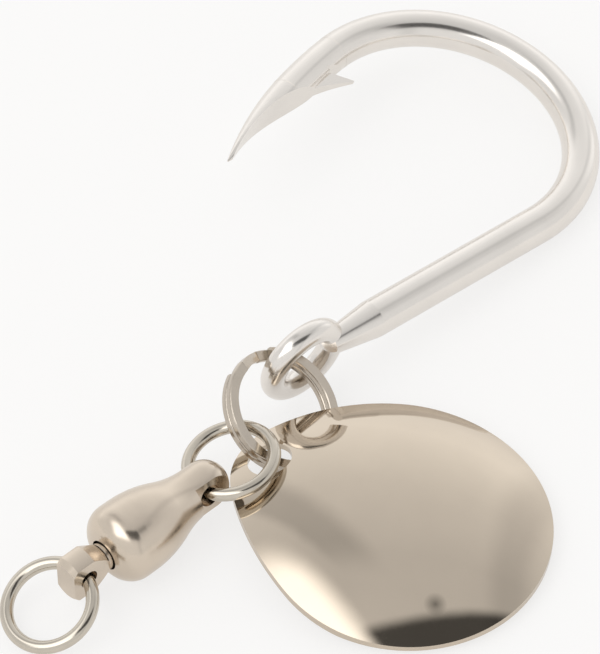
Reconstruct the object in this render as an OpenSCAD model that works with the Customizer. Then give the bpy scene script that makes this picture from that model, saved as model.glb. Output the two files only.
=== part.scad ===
// Spinner hook rig: a heavy round-bend hook, a split ring, a cupped pear blade
// and a ball-bearing swivel with two welded rings, laid out on a table.
// Millimetres, +Z up, +X from the line ring to the hook's bend, table at Z = 0.

/* [Hook] */
// Diameter of the hook's wire
hook_wire_d = 3.9; // [3:0.1:4.4]
// Shank from the eye's centre to the start of the bend
shank_len = 32.2; // [28:0.1:40]
// Centreline radius of the round bend
bend_r = 14.7; // [13:0.1:16]
// Sweep of the bend
bend_sweep = 190; // [180:1:194]
// Centreline radius of the point leg, which curves gently in to the shank
leg_r = 60; // [50:1:100]
// Leg of full wire between the bend and the ground point
leg_len = 8.2; // [7.8:0.1:10]
// Length of the ground point
point_len = 11.8; // [10:0.1:13]
// Reach of the barb back to the bend, from the base of the ground point
barb_len = 7.4; // [7:0.1:7.8]
// Height of the barb's tip over the wire
barb_lift = 2.6; // [2:0.1:2.8]
// Radius of the hollow grind between the point and the barb
grind_r = 20; // [18:0.5:24]
// Diameter of the wire round the eye
eye_wire_d = 2.4; // [2:0.1:2.6]
// Centreline radius of the eye
eye_r = 3.75; // [3.6:0.05:4.2]

/* [Split ring] */
// Centreline radius of the split ring
split_r = 5.75; // [5.7:0.05:5.9]
// Radial width of the flattened wire
split_wire_w = 1.1; // [0.9:0.05:1.2]
// Thickness of one coil
split_wire_t = 0.8; // [0.7:0.05:0.85]

/* [Blade] */
// Radius of the blade's wide end
blade_wide_r = 14.2; // [13:0.1:15]
// Radius of the blade's narrow end
blade_tip_r = 6.9; // [6:0.1:8]
// Distance between the centres of the two ends
blade_reach = 10.9; // [10:0.1:12]
// Radius of the blade's long sides
blade_side_r = 28; // [26:0.5:34]
// Height of the cupped blade over the table
blade_cup_h = 4.6; // [4:0.1:5]
// Thickness of the blade's sheet
blade_t = 0.7; // [0.5:0.05:0.8]
// Diameter of the hole for the split ring
blade_hole_d = 4.25; // [4.2:0.05:4.5]

/* [Swivel] */
// Largest diameter of the barrel
barrel_d = 8; // [7.6:0.1:8]
// Diameter of the stem's neck
stem_neck_d = 2.8; // [2.4:0.1:3]
// Centreline radius of both welded rings
ring_r = 4.25; // [4.2:0.05:4.4]
// Wire diameter of both welded rings
ring_wire_d = 1.3; // [1.1:0.05:1.35]
// Number of bearing balls
ball_count = 10; // [6:1:11]
// Diameter of a bearing ball
ball_d = 1; // [0.8:0.05:1]

/* [Hidden] */
$fn = 96;
eps = 0.01;
big = 100;

// The middle of the rig's footprint, which is moved to the origin
rig_mid = [-2.192, -9.019, -0.064];

// Hook: the eye's centre and the wire's attitude, as it lies with its point a little raised
hook_at = [-6.6, -6.9, 5.95];
hook_turn = [8.6, 6.3, -3.2];
hook_wire_r = hook_wire_d / 2;
neck_start = eye_r - 0.2;
neck_end = eye_r + 5.5;
eye_gap_deg = 34;
core_share = 0.8;
let_in = 0.4;
let_in_step = 0.012;
leg_wire_r = hook_wire_r - let_in_step;
point_base_r = leg_wire_r - let_in_step;
point_tip_r = 0.08;
barb_t = 1.8;
barb_tip_t = 0.3;
barb_root = 10.6;
barb_base = 2;
barb_tip = [barb_len, hook_wire_r + barb_lift];
barb_cut = [barb_len - 1.25, hook_wire_r * 0.82];
barb_cut_end = [barb_len + 1.6, hook_wire_r + 0.95];
grind_at = [-6, grind_r - 0.4];
bend_end_deg = bend_sweep - 90;
bend_end = [shank_len, bend_r] + bend_r * [cos(bend_end_deg), sin(bend_end_deg)];
leg_centre = bend_end - leg_r * [cos(bend_end_deg), sin(bend_end_deg)];

// Split ring
split_at = [-11.805, -9.231, 4.446];
split_turn = [0, 37.05, -72.04];
split_spin = 150;
coil_step = split_wire_t + 0.03;
coil_end_deg = 12;
ramp_deg = 26;
ramp_bite_deg = 1.2;
ramp_inset = 0.08;

// Blade: centre of the wide end on its rim plane
blade_at = [-12.059, -26.1, 1.221];
blade_turn = [1.2, 2.22, -71.4];
blade_hole_inset = 3.4;
rim_h = 0.85;
cup_drop = blade_cup_h - rim_h;
blade_len = blade_wide_r + blade_reach + blade_tip_r;
cup_mid = blade_wide_r - blade_len / 2;
cup_long_r = (pow(blade_len / 2, 2) + pow(cup_drop, 2)) / (2 * cup_drop);
cup_cross_r = (pow(blade_wide_r, 2) + pow(cup_drop, 2)) / (2 * cup_drop);
cup_axis = cup_cross_r - blade_cup_h;
cup_span = blade_len + 4;

// Swivel: the middle of the barrel's mouth, with the axis along +X to the lure ring
swivel_at = [-35.941, -9.946, 4.05];
swivel_yaw = -2;
barrel_roll = -8.55;
barrel_r = barrel_d / 2;
shoulder_r = 2.4;
belly_start = shoulder_r + 1;
belly_end = 8;
belly_r = 12;
waist_r = 9;
belly_drop = barrel_r - belly_r;
belly_end_r = belly_drop + sqrt(pow(belly_r, 2) - pow(belly_end - belly_start, 2));
waist_unit = [belly_end_r - belly_drop, belly_end - belly_start] / belly_r;
waist_at = [belly_end_r, belly_end] + waist_r * waist_unit;
tail_r = waist_at.x - waist_r;
tail_len = 1.2;
barrel_hole_at = 12;
barrel_hole_d = 2.3;
barrel_flat_t = 3.2;
flat_from = 10.4;
mouth_r = stem_neck_d / 2 + 0.2;
lip_t = 1.3;
chamber_r = 2.95;
chamber_end = 6;

// Thrust bearing behind the lip
race_t = 0.6;
race_bore_r = 1.75;
bearing_gap = 0.03;
ball_track_r = 2.3;
ball_at = lip_t + bearing_gap + race_t + bearing_gap + ball_d / 2;
head_at = ball_at + ball_d / 2 + bearing_gap;
head_t = 1.4;
head_r = chamber_r - 0.1;

// Stem outside the barrel
stem_hole_at = -2.9;
stem_hole_d = 1.9;
paddle_end = -4.7;
paddle_r = 2.4;
paddle_t = 2.5;
paddle_chamfer = 0.5;
flare_start = -0.4;
flare_end = -2.2;

// Attitudes of the two welded rings about their holes
lure_ring_lift = 8.14;
line_ring_lift = -22;

// Places the children in the rig's frame
module in_rig() {
    translate(-rig_mid) children();
}

// Places the children on the swivel's axis, with +X towards the lure ring
module on_swivel_axis(roll = 0) {
    in_rig() translate(swivel_at) rotate([roll, 0, swivel_yaw]) children();
}

// Round wire bent to an arc in the XY plane
module wire_arc(radius, wire_d, sweep) {
    rotate_extrude(angle = sweep) translate([radius, 0]) circle(d = wire_d);
}

// Solid turned about the X axis from a profile of [radius, distance along X]
module turned_on_x() {
    rotate([90, 0, 90]) rotate_extrude() children();
}

// Point of the leg's centreline, s millimetres past the end of the bend
function leg_deg(s) = bend_end_deg + s / leg_r * 180 / PI;
function leg_point(s) = leg_centre + leg_r * [cos(leg_deg(s)), sin(leg_deg(s))];

// Ground point, turned as a slim ogive and let into the end of the leg, as the leg is into the bend
module hook_point() {
    base = leg_point(leg_len);
    reach = point_len + let_in;
    drop = point_base_r - point_tip_r;
    ogive_r = (pow(reach, 2) + pow(drop, 2)) / (2 * drop);
    translate([base.x, base.y, 0]) rotate(leg_deg(leg_len) + 90) translate([-let_in, 0, 0])
        turned_on_x() intersection() {
            translate([point_base_r - ogive_r, 0]) circle(r = ogive_r, $fn = 360);
            square([hook_wire_d, reach]);
        }
}

// Frame on the leg's centreline at the barb's root: +X back to the bend, +Y to the shank
module at_barb() {
    s = leg_len + point_len - barb_root;
    p = leg_point(s);
    translate([p.x, p.y, 0]) rotate(leg_deg(s) - 90) mirror([0, 1, 0]) children();
}

// Spur raised from the wire, narrowing to its tip
module barb_spur() {
    intersection() {
        linear_extrude(height = barb_t, center = true)
            polygon([
                [barb_base, 0],
                [barb_base, barb_tip.y],
                barb_tip,
                barb_cut,
                [barb_cut.x, 0]
            ]);
        rotate([90, 0, 90]) linear_extrude(height = 2 * barb_tip.x)
            polygon([
                [-eps, -barb_t / 2],
                [-eps, barb_t / 2],
                [barb_tip.y + eps, barb_tip_t / 2],
                [barb_tip.y + eps, -barb_tip_t / 2]
            ]);
    }
}

// Cut that raises the spur from the wire
module barb_notch() {
    beyond = barb_tip + 0.3 * (barb_tip - barb_cut);
    linear_extrude(height = hook_wire_d, center = true) polygon([barb_cut, barb_cut_end, beyond]);
}

// Hollow grind that runs from the point up the back of the barb
module point_grind() {
    translate([grind_at.x, grind_at.y, 0]) cylinder(h = 2 * hook_wire_d, r = grind_r, center = true);
}

module hook() {
    color("gainsboro") in_rig() translate(hook_at) rotate(hook_turn) {
        // Eye: a loop whose cut end stops short of the neck
        rotate([90, 0, 0]) rotate(eye_gap_deg) wire_arc(eye_r, eye_wire_d, 360 - eye_gap_deg);
        // Neck that swells from the eye's wire to the shank
        translate([neck_start, 0, 0]) rotate([0, 90, 0])
            cylinder(h = neck_end - neck_start, d1 = eye_wire_d, d2 = hook_wire_d);
        translate([neck_end, 0, 0]) rotate([0, 90, 0]) cylinder(h = shank_len - neck_end, d = hook_wire_d);
        translate([shank_len, bend_r, 0]) rotate(-90) wire_arc(bend_r, hook_wire_d, bend_sweep);
        // Core that carries the wire from the neck into the shank
        translate([neck_end, 0, 0]) sphere(r = hook_wire_r * core_share);
        // Leg with the barb cut up from it, and the ground point
        difference() {
            union() {
                difference() {
                    translate([leg_centre.x, leg_centre.y, 0]) rotate(leg_deg(-let_in))
                        wire_arc(leg_r, 2 * leg_wire_r, leg_deg(leg_len) - leg_deg(-let_in));
                    at_barb() barb_notch();
                }
                hook_point();
                at_barb() barb_spur();
            }
            at_barb() point_grind();
        }
    }
}

// Section of the split ring's wire: round wire rolled flat on four sides
module split_section(inset = 0) {
    intersection() {
        circle(d = (split_wire_w + split_wire_t) * 0.62);
        square([split_wire_w - 2 * inset, split_wire_t - 2 * inset], center = true);
    }
}

// Flat coil of the split ring's wire
module coil(sweep, inset = 0) {
    rotate_extrude(angle = sweep) translate([split_r, 0]) split_section(inset);
}

module split_ring() {
    coil_sweep = 360 - ramp_deg - coil_end_deg;
    ramp_sweep = ramp_deg + 2 * ramp_bite_deg;
    ramp_slope = asin(coil_step / 2 / (split_r * sin(ramp_deg / 2)));
    color("darkgray") in_rig() translate(split_at) rotate(split_turn) rotate(split_spin) {
        // Lower coil, from its free end round to the ramp
        translate([0, 0, -coil_step / 2]) rotate(coil_end_deg + ramp_deg) coil(coil_sweep);
        // Upper coil, from the ramp round to its free end
        translate([0, 0, coil_step / 2]) rotate(ramp_deg) coil(coil_sweep);
        // Ramp that climbs from the lower coil to the upper one, bitten into both
        rotate(ramp_deg / 2) rotate([ramp_slope, 0, 0]) rotate(-ramp_sweep / 2)
            coil(ramp_sweep, ramp_inset);
    }
}

// Outline of the blade: two round ends joined by long arcs that are tangent to both
module blade_outline() {
    d_wide = blade_side_r - blade_wide_r;
    d_tip = blade_side_r - blade_tip_r;
    along = (pow(d_wide, 2) - pow(d_tip, 2) + pow(blade_reach, 2)) / (2 * blade_reach);
    off = sqrt(pow(d_wide, 2) - pow(along, 2));
    wide_tangent = along - along / d_wide * blade_side_r;
    tip_tangent = along + (blade_reach - along) / d_tip * blade_side_r;
    circle(r = blade_wide_r);
    translate([-blade_reach, 0]) circle(r = blade_tip_r);
    intersection() {
        translate([-along, off]) circle(r = blade_side_r);
        translate([-along, -off]) circle(r = blade_side_r);
        translate([-tip_tangent, -big / 2]) square([tip_tangent - wide_tangent, big]);
    }
}

// Cupped form of the blade, turned about its long axis and drawn in by a margin
module cup_form(margin) {
    translate([0, 0, -cup_axis]) turned_on_x($fn = 160) intersection() {
        translate([cup_cross_r - cup_long_r, cup_mid]) circle(r = cup_long_r - margin, $fn = 240);
        translate([0, cup_mid - cup_span / 2]) square([cup_cross_r, cup_span]);
    }
}

module blade() {
    hole_at = -(blade_reach + blade_tip_r - blade_hole_inset);
    color("tan") in_rig() translate(blade_at) rotate(blade_turn) difference() {
        intersection() {
            cup_form(0);
            linear_extrude(height = blade_cup_h + 1) blade_outline();
        }
        cup_form(blade_t);
        translate([hole_at, 0, -1]) cylinder(h = blade_cup_h + 2, d = blade_hole_d);
    }
}

// Barrel's outside as [radius, distance along the axis]
module barrel_profile() {
    intersection() {
        translate([barrel_r - shoulder_r, shoulder_r]) circle(r = shoulder_r);
        square([barrel_r, shoulder_r]);
    }
    square([barrel_r - shoulder_r, shoulder_r]);
    translate([0, shoulder_r]) square([barrel_r, belly_start - shoulder_r]);
    intersection() {
        translate([belly_drop, belly_start]) circle(r = belly_r);
        translate([0, belly_start]) square([barrel_r, belly_end - belly_start]);
    }
    difference() {
        translate([0, belly_end]) square([belly_end_r, waist_at.y - belly_end]);
        translate(waist_at) circle(r = waist_r);
    }
    translate([0, waist_at.y]) square([tail_r, tail_len]);
    intersection() {
        translate([0, waist_at.y + tail_len]) circle(r = tail_r);
        translate([0, waist_at.y + tail_len]) square(tail_r);
    }
}

module swivel_barrel() {
    color("tan") on_swivel_axis(barrel_roll) difference() {
        turned_on_x() barrel_profile();
        // Mouth and ball chamber
        translate([-1, 0, 0]) rotate([0, 90, 0]) cylinder(h = lip_t + 1 + eps, r = mouth_r);
        translate([lip_t, 0, 0]) rotate([0, 90, 0]) cylinder(h = chamber_end - lip_t, r = chamber_r);
        // Flats beside the cross hole
        for (side = [-1, 1])
            translate([flat_from, side * (barrel_flat_t + big) / 2, 0]) translate([big / 2, 0, 0])
                cube(big, center = true);
        // Cross hole for the lure ring
        translate([barrel_hole_at, 0, 0]) rotate([90, 0, 0])
            cylinder(h = big, d = barrel_hole_d, center = true);
    }
}

module bearing_race() {
    color("silver") on_swivel_axis() translate([lip_t + bearing_gap, 0, 0]) rotate([0, 90, 0])
        difference() {
            cylinder(h = race_t, r = chamber_r - bearing_gap);
            translate([0, 0, -1]) cylinder(h = race_t + 2, r = race_bore_r);
        }
}

module bearing_ball(i) {
    color("silver") on_swivel_axis(i * 360 / ball_count) translate([ball_at, 0, ball_track_r])
        sphere(d = ball_d);
}

module swivel_stem() {
    color("tan") on_swivel_axis() difference() {
        turned_on_x() polygon([
            [0, head_at + head_t],
            [head_r, head_at + head_t],
            [head_r, head_at],
            [stem_neck_d / 2, head_at],
            [stem_neck_d / 2, flare_start],
            [paddle_r, flare_end],
            [paddle_r, paddle_end + paddle_chamfer],
            [paddle_r - paddle_chamfer, paddle_end],
            [0, paddle_end]
        ]);
        // Flats beside the cross hole
        for (side = [-1, 1])
            translate([flare_start - big / 2, side * (paddle_t + big) / 2, 0]) cube(big, center = true);
        // Cross hole for the line ring
        translate([stem_hole_at, 0, 0]) rotate([90, 0, 0])
            cylinder(h = big, d = stem_hole_d, center = true);
    }
}

// Welded ring hung in a cross hole, its middle lifted about the hole's axis
module welded_ring(lift) {
    rotate([0, -lift, 0]) translate([ring_r, 0, 0]) wire_arc(ring_r, ring_wire_d, 360);
}

module lure_ring() {
    color("silver") on_swivel_axis(barrel_roll) translate([barrel_hole_at, 0, 0])
        welded_ring(lure_ring_lift);
}

module line_ring() {
    color("silver") on_swivel_axis() translate([stem_hole_at, 0, 0]) mirror([1, 0, 0])
        welded_ring(line_ring_lift);
}

hook();
split_ring();
blade();
lure_ring();
swivel_barrel();
bearing_race();
swivel_stem();
line_ring();
for (i = [1 : ball_count])
    bearing_ball(i);
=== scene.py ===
import math

import bmesh
import bpy
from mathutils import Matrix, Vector


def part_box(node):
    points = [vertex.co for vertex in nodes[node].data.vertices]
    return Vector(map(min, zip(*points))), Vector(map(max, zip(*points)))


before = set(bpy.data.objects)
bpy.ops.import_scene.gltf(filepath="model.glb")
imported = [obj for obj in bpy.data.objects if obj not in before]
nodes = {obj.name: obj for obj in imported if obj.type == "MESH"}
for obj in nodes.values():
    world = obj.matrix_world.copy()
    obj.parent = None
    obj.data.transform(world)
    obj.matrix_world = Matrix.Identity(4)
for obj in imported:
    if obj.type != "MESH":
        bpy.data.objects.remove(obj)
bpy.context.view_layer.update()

MM = 0.001

# The photograph's camera: the point near the table that it is aimed at, its direction and distance
AIM = Vector((2.192, 9.019, 0.064)) * MM
CAMERA_AZIMUTH = math.radians(-135)
CAMERA_ELEVATION = math.radians(48)
CAMERA_DISTANCE = 400 * MM
CAMERA_CLIP_START = 10 * MM
# Its focal length and the picture's height in pixels of the photograph
FOCAL_PX = 4000
IMAGE_H = 654
SENSOR_MM = 36
# Directions in the room as the picture shows it
UP = (0, 0, 1)
AWAY = (-math.cos(CAMERA_AZIMUTH), -math.sin(CAMERA_AZIMUTH), 0)
RIGHT = (AWAY[1], -AWAY[0], 0)

# Noise values at which tarnish is full and gone, and at which rubbing marks begin and are full
TARNISH_NOISE = {"From Min": 0.3, "From Max": 0.7}
RUB_NOISE = {"From Min": 0.35, "From Max": 0.7}
# Real rubbing marks are hundredths of a millimetre wide; they are drawn this coarse to show
RUB_MM = 0.35
# Painted reflection of the camera on the blade, a dark spot in its tint. From the lowest corner of the
# blade's box: its middle, its radius, and the share of the tint that is left in its middle
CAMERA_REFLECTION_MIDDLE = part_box("blade")[0] + Vector((8.675, 4.9, 2.44)) * MM
CAMERA_REFLECTION_RADIUS = 1.15 * MM
CAMERA_REFLECTION_TINT = 0.35

# The table is square, with half its side in metres, and lies just below the part. It shows white by
# these shares to the camera and in the metal
TABLE_HALF = 4.0
TABLE_GAP = 0.05 * MM
TABLE_COLOUR = "#fbf8f4"
TABLE_WHITE_TO_CAMERA = 0.72
TABLE_WHITE_IN_METAL = 0.5

# The room that the polished metal shows is laid out by these measures of a direction:
# over is degrees over the top, from 0 at the horizon behind the object to 180 behind the camera
# sideways goes from -1 at the picture's left to 1 at its right, and aside is the same without its sign
# slant is over, less SLANT degrees for each unit of sideways
# lean is over, with LEAN degrees more for each unit of sideways
HALF_TURN = 180
SLANT = 108
LEAN = 20
# Light level at degrees over the top: bright low down behind the object, greyer overhead
ROOM_LEVELS = [
    (0, 1.0),
    (9, 1.12),
    (18, 1.15),
    (32, 1.02),
    (48, 0.88),
    (64, 0.8),
    (80, 0.71),
    (95, 0.71),
    (125, 0.78),
    (150, 0.88),
]
# A patch of the room has soft edges, each a measure with its values outside and inside the edge.
# The walls far to both sides are even
WALL_LEVEL = 0.84
WALL_EDGES = [("aside", 0.76, 0.93)]
# The window is up on the left, beyond a slanted edge, and adds light
WINDOW_LEVEL = 1.8
WINDOW_EDGES = [
    ("slant", 120, 142),
    ("over", 66, 92),
    ("over", 142, 132),
    ("sideways", -0.8, -0.62),
]
# The other patches take away a share of the light
DARK_PATCHES = [
    # The dark side of the room round the camera, which reaches further overhead on the right
    (0.88, [("lean", 105, 111), ("over", 136, 124), ("slant", 134, 122), ("sideways", 0.74, 0.62)]),
    # A dim strip of wall beside the window's slanted edge
    (0.27, [("slant", 80, 98), ("slant", 120, 110), ("over", 30, 50), ("over", 92, 74)]),
    # A dim corner on the right
    (0.18, [("sideways", 0.48, 0.6), ("sideways", 0.74, 0.64)]),
]


def linear(hex_colour):
    """sRGB hex to a linear RGBA tuple."""
    channels = [int(hex_colour[i : i + 2], 16) / 255 for i in (1, 3, 5)]
    return tuple(c / 12.92 if c <= 0.04045 else ((c + 0.055) / 1.055) ** 2.4 for c in channels) + (1.0,)


def add(tree, kind, inputs=None, **settings):
    """Adds a node. An input, by name or number, is a value, a socket or a node's first output."""
    node = tree.nodes.new(kind)
    for name, value in settings.items():
        setattr(node, name, value)
    for key, value in (inputs or {}).items():
        if isinstance(value, bpy.types.Node):
            value = value.outputs[0]
        if isinstance(value, bpy.types.NodeSocket):
            tree.links.new(value, node.inputs[key])
        else:
            node.inputs[key].default_value = value
    return node


def empty_tree(owner):
    """Node tree of a material or world, with nothing in it."""
    owner.use_nodes = True
    owner.node_tree.nodes.clear()
    return owner.node_tree


def plated_metal(
    name, colour, roughness, rub, tarnish, tarnish_mm, wave_mm=0, wave_span_mm=1.2, painted_camera_reflection=False
):
    """A clear reflection with clouds of tarnish, rubbing marks and the waviness of hand polishing, and on
    request a dark spot painted into the tint as the camera's reflection.
    """
    material = bpy.data.materials.new(name)
    tree = empty_tree(material)
    place = add(tree, "ShaderNodeTexCoord").outputs["Object"]

    # Clouds of tarnish, some millimetres wide, darken the tint a little
    clean = linear(colour)
    dull = tuple(channel * (1 - tarnish) for channel in clean[:3]) + (1.0,)
    clouds = add(tree, "ShaderNodeTexNoise", {"Vector": place, "Scale": 1 / (tarnish_mm * MM), "Detail": 4})
    cleanness = add(tree, "ShaderNodeMapRange", {"Value": clouds, **TARNISH_NOISE})
    tint = add(tree, "ShaderNodeMixRGB", {"Fac": cleanness, "Color1": dull, "Color2": clean})
    # Painted reflection: a dark spot in the tint stands in for the camera's reflection in the blade
    if painted_camera_reflection:
        apart = add(tree, "ShaderNodeVectorMath", {0: place, 1: CAMERA_REFLECTION_MIDDLE}, operation="DISTANCE")
        fade = {"Value": apart.outputs["Value"], "From Max": CAMERA_REFLECTION_RADIUS, "To Min": CAMERA_REFLECTION_TINT}
        shade = add(tree, "ShaderNodeMapRange", fade)
        layers = {"Fac": 1, "Color1": tint, "Color2": shade}
        tint = add(tree, "ShaderNodeMixRGB", layers, blend_type="MULTIPLY")

    # Rubbing marks take some of the gloss away
    marks = add(tree, "ShaderNodeTexNoise", {"Vector": place, "Scale": 1 / (RUB_MM * MM), "Detail": 3})
    worn = {"To Min": roughness, "To Max": roughness + rub}
    rubbed = add(tree, "ShaderNodeMapRange", {"Value": marks, **RUB_NOISE, **worn})
    surface = {"Base Color": tint, "Metallic": 1, "Roughness": rubbed}
    if wave_mm:
        # Hand polishing leaves slow waves
        grain = {"Vector": place, "Scale": 1 / (wave_span_mm * MM), "Detail": 2}
        waves = add(tree, "ShaderNodeTexNoise", grain)
        relief = {"Strength": 1, "Distance": wave_mm * MM, "Height": waves}
        surface["Normal"] = add(tree, "ShaderNodeBump", relief)
    shader = add(tree, "ShaderNodeBsdfPrincipled", surface)
    add(tree, "ShaderNodeOutputMaterial", {"Surface": shader})
    return material


FINISHES = {
    # Bright tin over steel wire: nearly white, a little soft
    "hook": plated_metal(
        "tinned_steel_bright",
        "#ece7e1",
        roughness=0.17,
        rub=0.04,
        tarnish=0.04,
        tarnish_mm=4,
        wave_mm=0.002,
    ),
    # Nickelled spring wire, greyer than the hook
    "split_ring": plated_metal(
        "nickelled_spring_steel", "#c8beb1", roughness=0.16, rub=0.06, tarnish=0.08, tarnish_mm=2
    ),
    # Nickel on brass sheet: the warm mirror of the blade
    "blade": plated_metal(
        "polished_nickel_on_brass",
        "#d2c5b4",
        roughness=0.04,
        rub=0.025,
        tarnish=0.04,
        tarnish_mm=6,
        wave_mm=0.002,
        wave_span_mm=4,
        painted_camera_reflection=True,
    ),
    # Drawn stainless wire of the two welded rings: bright, with a grey cast
    "lure_ring": plated_metal(
        "polished_stainless_wire", "#d0c8bb", roughness=0.13, rub=0.05, tarnish=0.08, tarnish_mm=2
    ),
    # Satin nickel on the swivel's brass: warm beige, with soft highlights
    "swivel_barrel": plated_metal(
        "satin_nickel_on_brass",
        "#dacdbd",
        roughness=0.2,
        rub=0.03,
        tarnish=0.07,
        tarnish_mm=3,
        wave_mm=0.002,
    ),
    # Ground bearing steel, hidden in the barrel: a neutral grey mirror
    "bearing": plated_metal(
        "hardened_stainless_steel", "#d0d0d0", roughness=0.12, rub=0.03, tarnish=0.03, tarnish_mm=3
    ),
}
FINISHES["line_ring"] = FINISHES["lure_ring"]
FINISHES["swivel_stem"] = FINISHES["swivel_barrel"]

# The race and the balls have no finish under their own names, and take the bearing's
for name, node in nodes.items():
    for slot in node.material_slots:
        slot.material = FINISHES.get(name, FINISHES["bearing"])


def lay_table():
    """Pale table: nearly white to the camera, and it keeps the object's shadow."""
    shape = bmesh.new()
    bmesh.ops.create_grid(shape, x_segments=1, y_segments=1, size=TABLE_HALF)
    bmesh.ops.translate(shape, verts=shape.verts, vec=(0, 0, -TABLE_GAP))
    mesh = bpy.data.meshes.new("floor")
    shape.to_mesh(mesh)
    shape.free()
    floor = bpy.data.objects.new("floor", mesh)
    bpy.context.scene.collection.objects.link(floor)

    material = bpy.data.materials.new("pale_table")
    tree = empty_tree(material)
    rays = add(tree, "ShaderNodeLightPath").outputs
    # Reflections see less of the white, so they darken near the object
    whites = (rays["Is Camera Ray"], TABLE_WHITE_TO_CAMERA), (rays["Is Glossy Ray"], TABLE_WHITE_IN_METAL)
    to_camera, in_metal = (
        add(tree, "ShaderNodeMath", {0: ray, 1: share}, operation="MULTIPLY") for ray, share in whites
    )
    share = add(tree, "ShaderNodeMath", {0: to_camera, 1: in_metal}, operation="MAXIMUM")
    surface = add(tree, "ShaderNodeBsdfDiffuse", {"Color": linear(TABLE_COLOUR)})
    white = add(tree, "ShaderNodeEmission", {"Color": (1, 1, 1, 1), "Strength": 1})
    mixed = add(tree, "ShaderNodeMixShader", {0: share, 1: surface, 2: white})
    add(tree, "ShaderNodeOutputMaterial", {"Surface": mixed})
    mesh.materials.append(material)


lay_table()


def patch(tree, measures, edges):
    """Share of a patch of the room: 1 inside all of its soft edges, 0 outside any of them."""
    share = 1
    for measure, outside, inside in edges:
        step = {"Value": measures[measure], "From Min": outside, "From Max": inside}
        edge = add(tree, "ShaderNodeMapRange", step, interpolation_type="SMOOTHSTEP")
        share = add(tree, "ShaderNodeMath", {0: share, 1: edge}, operation="MULTIPLY")
    return share


def light_room():
    """Plain room with even walls, a soft window and darker patches; it is the only light."""
    world = bpy.data.worlds.new("studio")
    bpy.context.scene.world = world
    tree = empty_tree(world)
    direction = add(tree, "ShaderNodeTexCoord").outputs["Generated"]
    up, away, sideways = (
        add(tree, "ShaderNodeVectorMath", {0: direction, 1: axis}, operation="DOT_PRODUCT").outputs["Value"]
        for axis in (UP, AWAY, RIGHT)
    )
    turn = add(tree, "ShaderNodeMath", {0: up, 1: away}, operation="ARCTAN2")
    over = add(tree, "ShaderNodeMath", {0: turn}, operation="DEGREES")
    measures = {
        "over": over,
        "sideways": sideways,
        "aside": add(tree, "ShaderNodeMath", {0: sideways}, operation="ABSOLUTE"),
        "slant": add(tree, "ShaderNodeMath", {0: sideways, 1: -SLANT, 2: over}, operation="MULTIPLY_ADD"),
        "lean": add(tree, "ShaderNodeMath", {0: sideways, 1: LEAN, 2: over}, operation="MULTIPLY_ADD"),
    }

    over_share = add(tree, "ShaderNodeMath", {0: over, 1: HALF_TURN}, operation="DIVIDE")
    room = add(tree, "ShaderNodeValToRGB", {"Fac": over_share})
    stops = room.color_ramp.elements
    while len(stops) < len(ROOM_LEVELS):
        stops.new(position=0.5)
    for stop, (angle, level) in zip(stops, ROOM_LEVELS):
        stop.position = angle / HALF_TURN
        stop.color = (level, level, level, 1)
    wall = patch(tree, measures, WALL_EDGES)
    wall_grey = (WALL_LEVEL, WALL_LEVEL, WALL_LEVEL, 1)
    room = add(tree, "ShaderNodeMixRGB", {"Fac": wall, "Color1": room, "Color2": wall_grey})

    light = 1
    for taken, edges in DARK_PATCHES:
        dark = patch(tree, measures, edges)
        left = add(tree, "ShaderNodeMath", {0: dark, 1: -taken, 2: 1}, operation="MULTIPLY_ADD")
        light = add(tree, "ShaderNodeMath", {0: light, 1: left}, operation="MULTIPLY")
    window = patch(tree, measures, WINDOW_EDGES)
    light = add(tree, "ShaderNodeMath", {0: window, 1: WINDOW_LEVEL, 2: light}, operation="MULTIPLY_ADD")
    back = add(tree, "ShaderNodeBackground", {"Color": room, "Strength": light})
    add(tree, "ShaderNodeOutputWorld", {"Surface": back})


light_room()


def place_camera():
    """The photograph's camera, aimed without a shift."""
    data = bpy.data.cameras.new("photo_camera")
    data.sensor_fit = "VERTICAL"
    data.sensor_height = SENSOR_MM
    data.lens = SENSOR_MM * FOCAL_PX / IMAGE_H
    data.clip_start = CAMERA_CLIP_START
    camera = bpy.data.objects.new("photo_camera", data)
    sight = Vector(AWAY) * math.cos(CAMERA_ELEVATION) - Vector(UP) * math.sin(CAMERA_ELEVATION)
    camera.location = AIM - sight * CAMERA_DISTANCE
    camera.rotation_euler = sight.to_track_quat("-Z", "Y").to_euler()
    bpy.context.scene.collection.objects.link(camera)
    bpy.context.scene.camera = camera


place_camera()
bpy.context.scene.view_settings.view_transform = "Standard"
